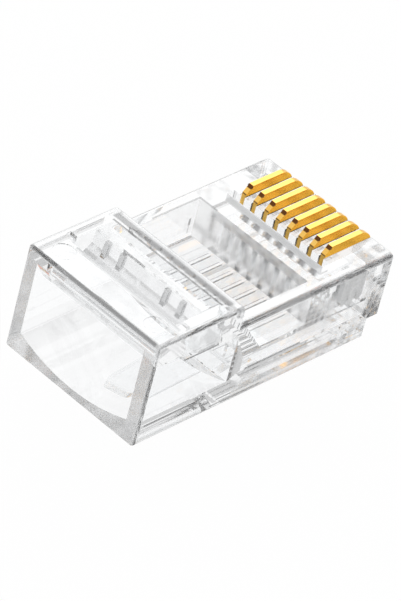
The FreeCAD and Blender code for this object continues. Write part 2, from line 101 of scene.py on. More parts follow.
class PlugContactSettings(bpy.types.PropertyGroup):
    """The gold-plated contacts."""

    gold: bpy.props.FloatVectorProperty(
        name="Gold", description="Colour of the plating", subtype="COLOR",
        default=(0.96, 0.60, 0.15), min=0.0, max=1.0)
    worn_gold: bpy.props.FloatVectorProperty(
        name="Thin plating", description="Colour where the plating is thinner",
        subtype="COLOR", default=(0.93, 0.55, 0.12), min=0.0, max=1.0)
    nickel: bpy.props.FloatVectorProperty(
        name="Nickel", description="Colour of the blades below the gold", subtype="COLOR",
        default=(0.60, 0.60, 0.60), min=0.0, max=1.0)
    gold_edge: bpy.props.FloatProperty(
        name="Gold edge", description="Height at which the gold plating ends",
        default=5.45 * MM, unit="LENGTH", precision=5)
    flank_edge: bpy.props.FloatProperty(
        name="Flank edge", description="Height at which the gold ends on the flat sides",
        default=6.43 * MM, unit="LENGTH", precision=5)
    # painted reflection: the sides facing the neighbouring contacts are deeper orange, in place
    # of light bounced between the contacts
    painted_reflection_gold: bpy.props.FloatVectorProperty(
        name="Side gold", description="Deeper colour of the sheared sides", subtype="COLOR",
        default=(1.0, 0.50, 0.015), min=0.0, max=1.0)
    # painted shade: the dark colour on the bend at the rear corner and in the crease below it
    bend_shade_colour: bpy.props.FloatVectorProperty(
        name="Bend", description="Colour of the sheared bend at the rear corner",
        subtype="COLOR", default=(0.10, 0.03, 0.01), min=0.0, max=1.0)
    sheen: bpy.props.FloatProperty(
        name="Sheen", description="Roughness of the plating",
        default=0.22, min=0.0, max=1.0, subtype="FACTOR")
    grain_size: bpy.props.FloatProperty(
        name="Grain size", description="Width of the rolling lines in the sheet",
        default=0.02 * MM, min=0.005 * MM, unit="LENGTH", precision=6)


class PlugStageSettings(bpy.types.PropertyGroup):
    """Floor, light and camera."""

    floor_colour: bpy.props.FloatVectorProperty(
        name="Floor", description="Colour of the floor", subtype="COLOR",
        default=(0.97, 0.97, 0.97), min=0.0, max=1.0)
    floor_white: bpy.props.FloatProperty(
        name="Floor white", description="Share of plain white in the floor that the camera sees",
        default=0.985, min=0.0, max=1.0, subtype="FACTOR")
    floor_gap: bpy.props.FloatProperty(
        name="Floor gap", description="Space between the plug's lowest point and the floor",
        default=0.05 * MM, min=0.0, unit="LENGTH", precision=5)
    room: bpy.props.FloatProperty(
        name="Room", description="Brightness of the plain room light",
        default=1.0, min=0.0, max=2.0)
    dark_side: bpy.props.FloatProperty(
        name="Dark side", description="Brightness of the unlit room on the camera's side",
        default=0.40, min=0.0, max=1.0)
    grey_side: bpy.props.FloatProperty(
        name="Grey side", description="Brightness of the studio walls past the nose",
        default=0.63, min=0.0, max=1.0)
    softbox: bpy.props.FloatProperty(
        name="Softbox", description="Power of the soft lamp behind the plug, in watts",
        default=0.55, min=0.0)
    azimuth: bpy.props.FloatProperty(
        name="Azimuth", description="Camera's direction round the plug",
        default=math.radians(35.881), subtype="ANGLE")
    elevation: bpy.props.FloatProperty(
        name="Elevation", description="Camera's height above the horizon",
        default=math.radians(36.845), subtype="ANGLE")
    roll: bpy.props.FloatProperty(
        name="Roll", description="Camera's tilt about its own line of sight",
        default=math.radians(14.993), subtype="ANGLE")
    aim: bpy.props.FloatVectorProperty(
        name="Aim", description="Point that the camera looks at",
        default=(2.464 * MM, 7.512 * MM, 6.195 * MM), subtype="TRANSLATION", precision=6)
    distance: bpy.props.FloatProperty(
        name="Distance", description="Camera's distance from that point",
        default=340.65 * MM, unit="LENGTH")
    lens: bpy.props.FloatProperty(
        name="Lens", description="Focal length in millimetres", default=329.65, min=1.0)


# Node helpers

def add(tree, kind, **values):
    """A node with its settings and its unlinked inputs filled in."""
    made = tree.nodes.new(kind)
    for name, value in values.items():
        if hasattr(made, name):
            setattr(made, name, value)
        else:
            made.inputs[name.replace("_", " ")].default_value = value
    return made


def link(tree, source, target):
    tree.links.new(source, target)


def calc(tree, operation, first, second=0.5):
    """A maths node whose inputs are sockets or numbers."""
    made = tree.nodes.new("ShaderNodeMath")
    made.operation = operation
    for socket, value in zip(made.inputs, (first, second)):
        if isinstance(value, bpy.types.NodeSocket):
            link(tree, value, socket)
        else:
            socket.default_value = value
    return made.outputs[0]


def stretch(tree, vector, factors):
    """Scales a vector along each axis."""
    made = add(tree, "ShaderNodeVectorMath", operation="MULTIPLY")
    link(tree, vector, made.inputs[0])
    made.inputs[1].default_value = factors
    return made.outputs[0]


def patches(tree, vector, size, detail, roughness, low, high):
    """Soft noise patches of one size, cut between two levels."""
    noise = add(tree, "ShaderNodeTexNoise", Scale=1.0 / size, Detail=detail,
                Roughness=roughness)
    link(tree, vector, noise.inputs["Vector"])
    level = add(tree, "ShaderNodeMapRange", From_Min=low, From_Max=high)
    link(tree, noise.outputs["Fac"], level.inputs["Value"])
    return level.outputs[0]


def new_group(name, inputs, outputs):
    """A shader node group with named sockets."""
    group = bpy.data.node_groups.new(name, "ShaderNodeTree")
    for label, kind, value in inputs:
        socket = group.interface.new_socket(label, in_out="INPUT", socket_type=kind)
        if value is not None:
            socket.default_value = value
    for label, kind in outputs:
        group.interface.new_socket(label, in_out="OUTPUT", socket_type=kind)
    return group, group.nodes.new("NodeGroupInput"), group.nodes.new("NodeGroupOutput")


def use_group(tree, group, **values):
    """Places a group in a material. A value may be a socket or a plain value."""
    made = tree.nodes.new("ShaderNodeGroup")
    made.node_tree = group
    for name, value in values.items():
        socket = made.inputs[name.replace("_", " ")]
        if isinstance(value, bpy.types.NodeSocket):
            link(tree, value, socket)
        else:
            socket.default_value = value
    return made


def zone_group():
    """A mask that is 1 inside a box and falls off over a soft edge."""
    if "Zone" in bpy.data.node_groups:
        return bpy.data.node_groups["Zone"]
    group, start, end = new_group(
        "Zone",
        [("Position", "NodeSocketVector", None), ("Low", "NodeSocketVector", None),
         ("High", "NodeSocketVector", None), ("Edge", "NodeSocketFloat", 0.1 * MM)],
        [("Mask", "NodeSocketFloat")])
    above = add(group, "ShaderNodeVectorMath", operation="SUBTRACT")
    link(group, start.outputs["Position"], above.inputs[0])
    link(group, start.outputs["Low"], above.inputs[1])
    below = add(group, "ShaderNodeVectorMath", operation="SUBTRACT")
    link(group, start.outputs["High"], below.inputs[0])
    link(group, start.outputs["Position"], below.inputs[1])
    nearest = add(group, "ShaderNodeVectorMath", operation="MINIMUM")
    link(group, above.outputs[0], nearest.inputs[0])
    link(group, below.outputs[0], nearest.inputs[1])
    parts = add(group, "ShaderNodeSeparateXYZ")
    link(group, nearest.outputs[0], parts.inputs[0])
    inside = calc(group, "MINIMUM", parts.outputs[0], parts.outputs[1])
    inside = calc(group, "MINIMUM", inside, parts.outputs[2])
    soft = calc(group, "DIVIDE", inside, start.outputs["Edge"])
    mask = calc(group, "ADD", soft, 0.5)
    mask.node.use_clamp = True
    link(group, mask, end.inputs["Mask"])
    return group


def moulding_group():
    """Cloudy haze and faint flow lines, as moulded clear plastic has."""
    if "Moulding marks" in bpy.data.node_groups:
        return bpy.data.node_groups["Moulding marks"]
    group, start, end = new_group(
        "Moulding marks",
        [("Position", "NodeSocketVector", None),
         ("Haze Size", "NodeSocketFloat", 2.0 * MM),
         ("Flow Size", "NodeSocketFloat", 0.8 * MM)],
        [("Haze", "NodeSocketFloat"), ("Flow", "NodeSocketFloat")])
    haze_scale = calc(group, "DIVIDE", 1.0, start.outputs["Haze Size"])
    cloud = add(group, "ShaderNodeTexNoise", Detail=3.0, Roughness=0.55)
    link(group, start.outputs["Position"], cloud.inputs["Vector"])
    link(group, haze_scale, cloud.inputs["Scale"])
    haze = add(group, "ShaderNodeMapRange", From_Min=0.42, From_Max=0.72)
    link(group, cloud.outputs["Fac"], haze.inputs["Value"])
    link(group, haze.outputs[0], end.inputs["Haze"])
    along = stretch(group, start.outputs["Position"], (1.0, 0.22, 1.0))
    flow_scale = calc(group, "DIVIDE", 1.0, start.outputs["Flow Size"])
    flow = add(group, "ShaderNodeTexNoise", Detail=2.0, Roughness=0.5, Distortion=0.4)
    link(group, along, flow.inputs["Vector"])
    link(group, flow_scale, flow.inputs["Scale"])
    link(group, flow.outputs["Fac"], end.inputs["Flow"])
    return group


def rib_line_group():
    """A mask of thin lines that run along the plug, a pair for each wire.

    They stand half a width to each side of the wire's middle, so without a width there
    is one line. A slant moves them sideways with the distance from one place on the plug.
    """
    if "Rib lines" in bpy.data.node_groups:
        return bpy.data.node_groups["Rib lines"]
    group, start, end = new_group(
        "Rib lines",
        [("Position", "NodeSocketVector", None), ("Pitch", "NodeSocketFloat", PITCH),
         ("Half Width", "NodeSocketFloat", 0.4 * MM), ("Line", "NodeSocketFloat", 0.05 * MM),
         ("Slant", "NodeSocketFloat", 0.0), ("Slant From", "NodeSocketFloat", 0.0)],
        [("Mask", "NodeSocketFloat")])
    parts = add(group, "ShaderNodeSeparateXYZ")
    link(group, start.outputs["Position"], parts.inputs[0])
    along = calc(group, "SUBTRACT", parts.outputs[1], start.outputs["Slant From"])
    aside = calc(group, "MULTIPLY", along, start.outputs["Slant"])
    across = calc(group, "ADD", parts.outputs[0], aside)
    turns = calc(group, "DIVIDE", across, start.outputs["Pitch"])
    place = calc(group, "FRACT", turns)
    off_centre = calc(group, "ABSOLUTE", calc(group, "SUBTRACT", place, 0.5))
    reach = calc(group, "MULTIPLY", off_centre, start.outputs["Pitch"])
    gap = calc(group, "SUBTRACT", reach, start.outputs["Half Width"])
    beside = calc(group, "DIVIDE", calc(group, "ABSOLUTE", gap), start.outputs["Line"])
    mask = calc(group, "SUBTRACT", 1.5, beside)
    mask.node.use_clamp = True
    link(group, mask, end.inputs["Mask"])
    return group


def round_edge_group():
    """A mask on the rounded outer edges: curved faces where the inner mask is off."""
    if "Round edges" in bpy.data.node_groups:
        return bpy.data.node_groups["Round edges"]
    group, start, end = new_group(
        "Round edges",
        [("Normal", "NodeSocketVector", None), ("Inner", "NodeSocketFloat", 0.0)],
        [("Mask", "NodeSocketFloat")])
    level = add(group, "ShaderNodeVectorMath", operation="ABSOLUTE")
    link(group, start.outputs["Normal"], level.inputs[0])
    parts = add(group, "ShaderNodeSeparateXYZ")
    link(group, level.outputs[0], parts.inputs[0])
    largest = calc(group, "MAXIMUM", parts.outputs[0], parts.outputs[1])
    largest = calc(group, "MAXIMUM", largest, parts.outputs[2])
    curved = add(group, "ShaderNodeMapRange", From_Min=0.99, From_Max=0.93)
    link(group, largest, curved.inputs["Value"])
    outside = calc(group, "SUBTRACT", 1.0, start.outputs["Inner"])
    link(group, calc(group, "MULTIPLY", curved.outputs[0], outside), end.inputs["Mask"])
    return group


def speck_group():
    """Tiny scattered specks, for dust in plastic and pits in plating."""
    if "Specks" in bpy.data.node_groups:
        return bpy.data.node_groups["Specks"]
    group, start, end = new_group(
        "Specks",
        [("Position", "NodeSocketVector", None), ("Spacing", "NodeSocketFloat", 1.0 * MM),
         ("Size", "NodeSocketFloat", 0.06)],
        [("Mask", "NodeSocketFloat")])
    scale = calc(group, "DIVIDE", 1.0, start.outputs["Spacing"])
    cells = add(group, "ShaderNodeTexVoronoi", feature="F1")
    link(group, start.outputs["Position"], cells.inputs["Vector"])
    link(group, scale, cells.inputs["Scale"])
    mask = calc(group, "LESS_THAN", cells.outputs["Distance"], start.outputs["Size"])
    link(group, mask, end.inputs["Mask"])
    return group


def new_material(name):
    """A material that has only a Principled shader."""
    material = bpy.data.materials.new(name)
    material.use_nodes = True
    tree = material.node_tree
    tree.nodes.clear()
    output = tree.nodes.new("ShaderNodeOutputMaterial")
    shader = tree.nodes.new("ShaderNodeBsdfPrincipled")
    link(tree, shader.outputs[0], output.inputs["Surface"])
    return material, tree, shader


def place_of(tree):
    """The point on the surface in the piece's own frame, which is the plug's at rest."""
    return add(tree, "ShaderNodeTexCoord").outputs["Object"]


def blend_colour(tree, mask, first, second):
    """Mixes two colours, each a socket or a plain colour."""
    mix = add(tree, "ShaderNodeMix", data_type="RGBA")
    link(tree, mask, mix.inputs["Factor"])
    for socket, value in ((mix.inputs[6], first), (mix.inputs[7], second)):
        if isinstance(value, bpy.types.NodeSocket):
            link(tree, value, socket)
        else:
            socket.default_value = (*value, 1.0)
    return mix.outputs[2]


def give_finish(names, material):
    """Puts one material on every slot of these solids."""
    for name in names:
        mesh_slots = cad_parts[name].material_slots
        if not mesh_slots:
            raise RuntimeError("solid %s has no material slot" % name)
        for slot in mesh_slots:
            slot.link = "OBJECT"
            slot.material = material


# Finishes: where the plastic is frosted, and where shade is painted on it, in millimetres

Zone = namedtuple("Zone", "low high edge strength")
LineRow = namedtuple("LineRow", "zone half_width line slant slant_from")

SPECK_GREY = (0.70, 0.69, 0.66)
SPECK_STRENGTH = 0.3
DEPTH_TINT = (0.50, 0.505, 0.51, 1.0)
# share of the painted reflection colour on the sides
PAINTED_REFLECTION_SHARE = 0.97
# how far the bend and the crease are darkened toward the painted shade colour
BEND_SHARE = 0.96
CREASE_SHARE = 0.92
LINE_ROUGHNESS = 0.10
PIT_ROUGHNESS = 0.15

HOUSING_FROST = (
    # pocket's front wall, rear rim and nose
    Zone((-4.9, 14.70, 3.0), (4.9, 14.80, 6.45), 0.04, 0.22),
    Zone((-6.0, -1.0, -1.0), (6.0, 0.03, 7.1), 0.10, 0.30),
    Zone((-6.0, 21.93, -1.0), (6.0, 23.0, 9.0), 0.04, 0.10),
    # rear wall of the contacts' trough
    Zone((-4.35, 16.60, 4.9), (4.35, 16.72, 6.42), 0.04, 0.35),
    # right side over the channels' ends and along its lower edge
    Zone((5.8, 13.6, 2.9), (6.0, 16.9, 5.1), 0.50, 0.34),
    Zone((5.8, 8.5, 0.3), (6.0, 17.2, 1.7), 0.40, 0.20),
)
# painted shade: dark places on the housing, in place of dark refractions inside the clear
# plastic
HOUSING_PAINTED_SHADE = (
    # painted shade: dark band on the top edge of the rear face
    Zone((-5.5, -0.2, 7.74), (5.5, 0.20, 8.2), 0.06, 0.85),
    # painted shade: dark bands on the bar in front of the window
    Zone((-4.9, 6.42, 7.90), (4.9, 6.58, 8.1), 0.05, 0.90),
    Zone((-5.2, 6.76, 7.90), (5.2, 7.28, 8.1), 0.14, 0.95),
    Zone((-5.2, 7.28, 7.90), (5.2, 7.44, 8.1), 0.05, 0.30),
    # painted shade: grey band behind the contacts' trough
    Zone((-3.9, 16.06, 6.40), (4.25, 16.56, 6.5), 0.10, 0.46),
    # right side: thin dark lines of painted shade, in place of the hollows' edges seen through
    # the wall
    Zone((5.8, 9.2, 2.32), (5.9, 14.3, 2.50), 0.06, 0.92),
    Zone((5.8, 0.5, 1.40), (5.9, 5.25, 1.55), 0.06, 0.90),
    Zone((5.8, 6.6, 0.36), (5.9, 11.2, 0.49), 0.06, 0.86),
    # painted shade: thin dark line on the inner side wall below the window
    Zone((4.7, 3.3, 5.22), (5.1, 7.25, 5.37), 0.04, 1.0),
    # painted shade: dark lines on the pocket's rims at its left and front
    Zone((-4.96, 10.4, 6.40), (-4.84, 14.8, 6.5), 0.03, 0.65),
    Zone((-4.9, 14.73, 6.38), (-3.3, 14.84, 6.5), 0.03, 0.65),
    # painted shade: small dark mark in the pocket's left front corner
    Zone((-4.9, 14.18, 4.40), (-4.80, 14.36, 4.95), 0.06, 0.90),
    Zone((-4.9, 14.22, 3.75), (-4.80, 14.34, 4.50), 0.05, 0.45),
)
# painted shade: streaky dark patches in the painted shade colour
HOUSING_PAINTED_STREAKS = (
    # painted shade streaks on the pocket's front wall
    Zone((-3.6, 14.70, 4.30), (4.3, 14.80, 6.05), 0.45, 0.85),
    # painted shade streaks on top: left of the trough, and both sides of the contacts
    Zone((-5.9, 14.9, 6.40), (-4.4, 17.3, 6.5), 0.30, 0.40),
    Zone((-5.9, 19.2, 5.8), (-3.6, 22.1, 6.5), 0.50, 0.95),
    Zone((4.4, 18.6, 6.38), (5.9, 22.1, 6.5), 0.30, 0.50),
    # painted shade streaks on the right side near the nose
    Zone((5.75, 16.2, 1.2), (5.9, 21.9, 6.2), 0.40, 0.35),
    Zone((5.75, 16.9, -0.1), (5.9, 21.2, 1.5), 0.30, 0.85),
    Zone((5.5, 20.9, 1.3), (5.9, 22.1, 6.5), 0.20, 0.50),
)
HOUSING_PAINTED_LINES = (
    # painted shade: double dark lines where the channels' ribs show on the pocket's floor
    LineRow(Zone((-3.9, 9.6, 2.50), (3.9, 14.8, 2.75), 0.04, 0.85),
            half_width=0.4, line=0.05, slant=0.0, slant_from=0.0),
    # painted shade on the top face, in the shape of the rounded rear ends of the contacts' slots
    LineRow(Zone((-2.35, 15.50, 6.40), (4.75, 16.06, 6.5), 0.06, 0.98),
            half_width=0.0, line=0.34, slant=0.50, slant_from=15.25),
)
# rounded edges in these boxes get no painted shade: all inner ones, and the upright ones at the
# rear
HOUSING_CLEAR = (
    Zone((-5.45, 0.35, 0.35), (5.45, 21.60, 7.50), 0.05, 1.0),
    Zone((-6.0, -0.1, 0.5), (6.0, 0.40, 7.2), 0.10, 0.9),
)
# underside of the clamp
CLAMP_FROST = (Zone((-5.0, 4.5, 5.0), (5.0, 6.3, 5.2), 0.05, 0.10),)
# the clamp's ribs: how far they stand from the middle, and half of the width of their painted
# shade
CLAMP_RIBS = (1.98, 3.35)
CLAMP_RIB_HALF = 0.20
# painted shade on the four ribs, and a painted shade line along the clamp's lower right edge
CLAMP_PAINTED_SHADE = tuple(
    Zone((side * rib - CLAMP_RIB_HALF, 4.1, 6.80), (side * rib + CLAMP_RIB_HALF, 4.78, 8.0),
         0.04, 0.60)
    for rib in CLAMP_RIBS for side in (-1, 1)
) + (Zone((4.45, 4.75, 5.0), (4.75, 6.4, 5.30), 0.05, 0.8),)


def zone_mask(tree, place, zone):
    """The mask of one zone, times its strength."""
    mask = use_group(tree, zone_group(), Position=place,
                     Low=tuple(value * MM for value in zone.low),
                     High=tuple(value * MM for value in zone.high),
                     Edge=zone.edge * MM).outputs["Mask"]
    return calc(tree, "MULTIPLY", mask, zone.strength)


def strongest(tree, masks):
    """The strongest of several masks."""
    result = masks[0]
    for mask in masks[1:]:
        result = calc(tree, "MAXIMUM", result, mask)
    return result


def painted_shade_masks(tree, place, plastic, painted_shades, smears, lines, clear_boxes):
    """Masks of painted shade: dark places, streaks, rows of dark lines and rounded edges."""
    masks = [zone_mask(tree, place, zone) for zone in painted_shades]
    # painted shade: streaks in the listed places (the smears)
    if smears:
        upright = stretch(tree, place, (1.0, 1.0, 0.35))
        streaks = patches(tree, upright, size=0.55 * MM, detail=2.0, roughness=0.5,
                          low=0.40, high=0.62)
        area = strongest(tree, [zone_mask(tree, place, zone) for zone in smears])
        masks.append(calc(tree, "MULTIPLY", streaks, area))
    for row in lines:
        ribs = use_group(tree, rib_line_group(), Position=place,
                         Half_Width=row.half_width * MM, Line=row.line * MM,
                         Slant=row.slant, Slant_From=row.slant_from * MM)
        masks.append(calc(tree, "MULTIPLY", ribs.outputs["Mask"],
                          zone_mask(tree, place, row.zone)))
    # painted shade on the rounded outer edges, apart from those in the clear boxes
    if clear_boxes:
        inner = strongest(tree, [zone_mask(tree, place, box) for box in clear_boxes])
        edges = use_group(tree, round_edge_group(), Inner=inner,
                          Normal=add(tree, "ShaderNodeTexCoord").outputs["Normal"])
        masks.append(calc(tree, "MULTIPLY", edges.outputs["Mask"], plastic.edge_depth))
    return masks


def clear_plastic(name, plastic, haze, frosted=(), painted_shades=(), smears=(), lines=(),
                  clear_boxes=()):
    """Clear moulded plastic with haze, flow lines, specks, frost and painted shade."""
    material, tree, shader = new_material(name)
    place = place_of(tree)
    marks = use_group(tree, moulding_group(), Position=place,
                      Haze_Size=plastic.haze_size, Flow_Size=plastic.flow_size)
    specks = use_group(tree, speck_group(), Position=place, Spacing=1.7 * MM, Size=0.035)
    dust = calc(tree, "MULTIPLY", specks.outputs["Mask"], SPECK_STRENGTH)
    colour = blend_colour(tree, dust, tuple(plastic.tint), SPECK_GREY)
    roughness = calc(tree, "ADD", calc(tree, "MULTIPLY", marks.outputs["Haze"], haze),
                     plastic.polish)
    if frosted:
        frost = strongest(tree, [zone_mask(tree, place, zone) for zone in frosted])
        smear = patches(tree, place, size=1.1 * MM, detail=4.0, roughness=0.6,
                        low=0.38, high=0.66)
        smeared = calc(tree, "MULTIPLY", calc(tree, "GREATER_THAN", frost, 0.05), smear)
        colour = blend_colour(tree, smeared, colour, tuple(plastic.frost_tint))
        roughness = calc(tree, "ADD", roughness,
                         calc(tree, "MULTIPLY", frost, plastic.frost))
    # painted shade: the masked places are darkened toward the painted shade colour
    masks = painted_shade_masks(tree, place, plastic, painted_shades, smears, lines, clear_boxes)
    if masks:
        colour = blend_colour(tree, strongest(tree, masks), colour,
                              tuple(plastic.painted_shade_colour))
    link(tree, colour, shader.inputs["Base Color"])
    link(tree, roughness, shader.inputs["Roughness"])
    bump = add(tree, "ShaderNodeBump", Strength=1.0, Distance=plastic.flow_depth)
    link(tree, marks.outputs["Flow"], bump.inputs["Height"])
    link(tree, bump.outputs[0], shader.inputs["Normal"])
    shader.inputs["IOR"].default_value = plastic.refraction
    shader.inputs["Transmission Weight"].default_value = 1.0
    shader.inputs["Metallic"].default_value = 0.0
    # A half-grey colour takes half of the density, so the density is doubled.
    inside = add(tree, "ShaderNodeVolumeAbsorption")
    inside.inputs["Color"].default_value = DEPTH_TINT
    inside.inputs["Density"].default_value = plastic.depth_grey * 2
    output = tree.nodes["Material Output"]
    link(tree, inside.outputs[0], output.inputs["Volume"])
    return material


def contact_band(tree, place, rear, front, low, high, edge):
    """A mask across the whole row of contacts, between two places and two heights."""
    return use_group(tree, zone_group(), Position=place, Low=(-6.0 * MM, rear, low),
                     High=(6.0 * MM, front, high), Edge=edge).outputs["Mask"]


def gold_plating(contacts):
    """Gold over rolled sheet: lines along it, thin spots, painted side reflection, painted dark
    bend.
    """
    material, tree, shader = new_material("gold_plating")
    place = place_of(tree)
    lines = add(tree, "ShaderNodeTexNoise", Scale=1.0 / contacts.grain_size, Detail=2.0,
                Roughness=0.6)
    link(tree, stretch(tree, place, (1.0, 0.05, 1.0)), lines.inputs["Vector"])
    thin = patches(tree, place, size=0.9 * MM, detail=3.0, roughness=0.55,
                   low=0.45, high=0.70)
    colour = blend_colour(tree, thin, tuple(contacts.gold), tuple(contacts.worn_gold))
    facing = add(tree, "ShaderNodeSeparateXYZ")
    link(tree, add(tree, "ShaderNodeTexCoord").outputs["Normal"], facing.inputs[0])
    # painted reflection: faces that look along the row are blended toward the deeper orange
    sides = calc(tree, "ABSOLUTE", facing.outputs[0])
    colour = blend_colour(tree, calc(tree, "MULTIPLY", sides, PAINTED_REFLECTION_SHARE), colour,
                          tuple(contacts.painted_reflection_gold))
    # nickel: everything below the gold edge, and the sides and front below the flank edge
    blades = contact_band(tree, place, rear=17.0 * MM, front=23.0 * MM, low=-1.0 * MM,
                          high=contacts.gold_edge, edge=0.12 * MM)
    flanks = contact_band(tree, place, rear=17.0 * MM, front=23.0 * MM, low=-1.0 * MM,
                          high=contacts.flank_edge, edge=0.06 * MM)
    not_rear = calc(tree, "GREATER_THAN", facing.outputs[1], -0.5)
    bare = calc(tree, "MAXIMUM", blades, calc(tree, "MULTIPLY", flanks, not_rear))
    colour = blend_colour(tree, bare, colour, tuple(contacts.nickel))
    # painted shade: a dark band on the bend at the rear corner, and a dark line in the crease of
    # the leg below it
    bend = contact_band(tree, place, rear=17.72 * MM, front=17.93 * MM, low=6.96 * MM,
                        high=7.40 * MM, edge=0.03 * MM)
    colour = blend_colour(tree, calc(tree, "MULTIPLY", bend, BEND_SHARE), colour,
                          tuple(contacts.bend_shade_colour))
    crease = contact_band(tree, place, rear=17.30 * MM, front=17.45 * MM, low=6.59 * MM,
                          high=6.67 * MM, edge=0.02 * MM)
    colour = blend_colour(tree, calc(tree, "MULTIPLY", crease, CREASE_SHARE), colour,
                          tuple(contacts.bend_shade_colour))
    link(tree, colour, shader.inputs["Base Color"])
    pits = use_group(tree, speck_group(), Position=place, Spacing=0.35 * MM, Size=0.10)
    rough = calc(tree, "MULTIPLY", lines.outputs["Fac"], LINE_ROUGHNESS)
    rough = calc(tree, "ADD", rough, contacts.sheen)
    dull = calc(tree, "MULTIPLY", pits.outputs["Mask"], PIT_ROUGHNESS)
    rough = calc(tree, "ADD", rough, dull)
    link(tree, rough, shader.inputs["Roughness"])
    shader.inputs["Metallic"].default_value = 1.0
    bump = add(tree, "ShaderNodeBump", Strength=1.0, Distance=0.0003 * MM)
    link(tree, lines.outputs["Fac"], bump.inputs["Height"])
    link(tree, bump.outputs[0], shader.inputs["Normal"])
    return material


class PLUG_OT_finish_housing(bpy.types.Operator):
    """Give the housing its clear, partly frosted plastic with painted shade"""

    bl_idname = "plug.finish_housing"
    bl_label = "Finish Housing"

    def execute(self, context):
        plastic = context.scene.plug_plastic
        give_finish(["housing"], clear_plastic(
            "clear_housing", plastic, haze=0.008, frosted=HOUSING_FROST,
            painted_shades=HOUSING_PAINTED_SHADE, smears=HOUSING_PAINTED_STREAKS, lines=HOUSING_PAINTED_LINES,
            clear_boxes=HOUSING_CLEAR))
        return {"FINISHED"}


class PLUG_OT_finish_latch(bpy.types.Operator):
    """Give the latch its clear plastic"""

    bl_idname = "plug.finish_latch"
    bl_label = "Finish Latch"

    def execute(self, context):
        plastic = context.scene.plug_plastic
        give_finish(["latch"], clear_plastic("clear_latch", plastic, haze=0.010))
        return {"FINISHED"}


class PLUG_OT_finish_clamp(bpy.types.Operator):
    """Give the cable clamp its clear plastic with a worn underside and painted shade on its ribs
    and lower edge
    """

    bl_idname = "plug.finish_clamp"
    bl_label = "Finish Cable Clamp"

    def execute(self, context):
        plastic = context.scene.plug_plastic
        give_finish(["jacket_clamp"], clear_plastic(
            "clear_clamp", plastic, haze=0.012, frosted=CLAMP_FROST, painted_shades=CLAMP_PAINTED_SHADE))
        return {"FINISHED"}


class PLUG_OT_finish_contacts(bpy.types.Operator):
    """Give the contacts their gold plating"""

    bl_idname = "plug.finish_contacts"
    bl_label = "Finish Contacts"

    def execute(self, context):
        give_finish(CONTACTS, gold_plating(context.scene.plug_contacts))
        return {"FINISHED"}


# Studio

FLOOR_HALF = 1.5
LAMP_SIDE = (-0.476, 0.625, 0.618)
LAMP_DISTANCE = 0.45
LAMP_SIZE = 0.34
DARK_AIM = (0.476, -0.625, 0.618)
GREY_AIMS = ((-0.46, 0.64, 0.62), (0.46, 0.64, 0.62))


def make_floor(stage):
    """A wide white floor, clear from below. Metal and plastic see it as plain white."""
    low = CAD_BOX[0][2] - stage.floor_gap
    mesh = bpy.data.meshes.new("floor")
    corners = [(across * FLOOR_HALF, along * FLOOR_HALF, low)
               for across, along in ((-1, -1), (1, -1), (1, 1), (-1, 1))]
    mesh.from_pydata(corners, [], [(0, 1, 2, 3)])
    floor = bpy.data.objects.new("floor", mesh)
    bpy.context.scene.collection.objects.link(floor)

    material = bpy.data.materials.new("studio_floor")
    material.use_nodes = True
    tree = material.node_tree
    tree.nodes.clear()
    output = tree.nodes.new("ShaderNodeOutputMaterial")
    paint = add(tree, "ShaderNodeBsdfDiffuse")
    paint.inputs["Color"].default_value = (*stage.floor_colour, 1.0)
    white = add(tree, "ShaderNodeEmission")
    rays = add(tree, "ShaderNodeLightPath")
    shown = calc(tree, "MULTIPLY", rays.outputs["Is Camera Ray"], stage.floor_white)
    through = calc(tree, "MAXIMUM", rays.outputs["Is Transmission Ray"],
                   rays.outputs["Is Glossy Ray"])
    share = calc(tree, "MAXIMUM", shown, through)
    top = add(tree, "ShaderNodeMixShader")
    link(tree, share, top.inputs[0])
    link(tree, paint.outputs[0], top.inputs[1])
    link(tree, white.outputs[0], top.inputs[2])
    clear = add(tree, "ShaderNodeBsdfTransparent")
    side = add(tree, "ShaderNodeNewGeometry")
    both = add(tree, "ShaderNodeMixShader")
    link(tree, side.outputs["Backfacing"], both.inputs[0])
    link(tree, top.outputs[0], both.inputs[1])
    link(tree, clear.outputs[0], both.inputs[2])
    link(tree, both.outputs[0], output.inputs["Surface"])
    mesh.materials.append(material)


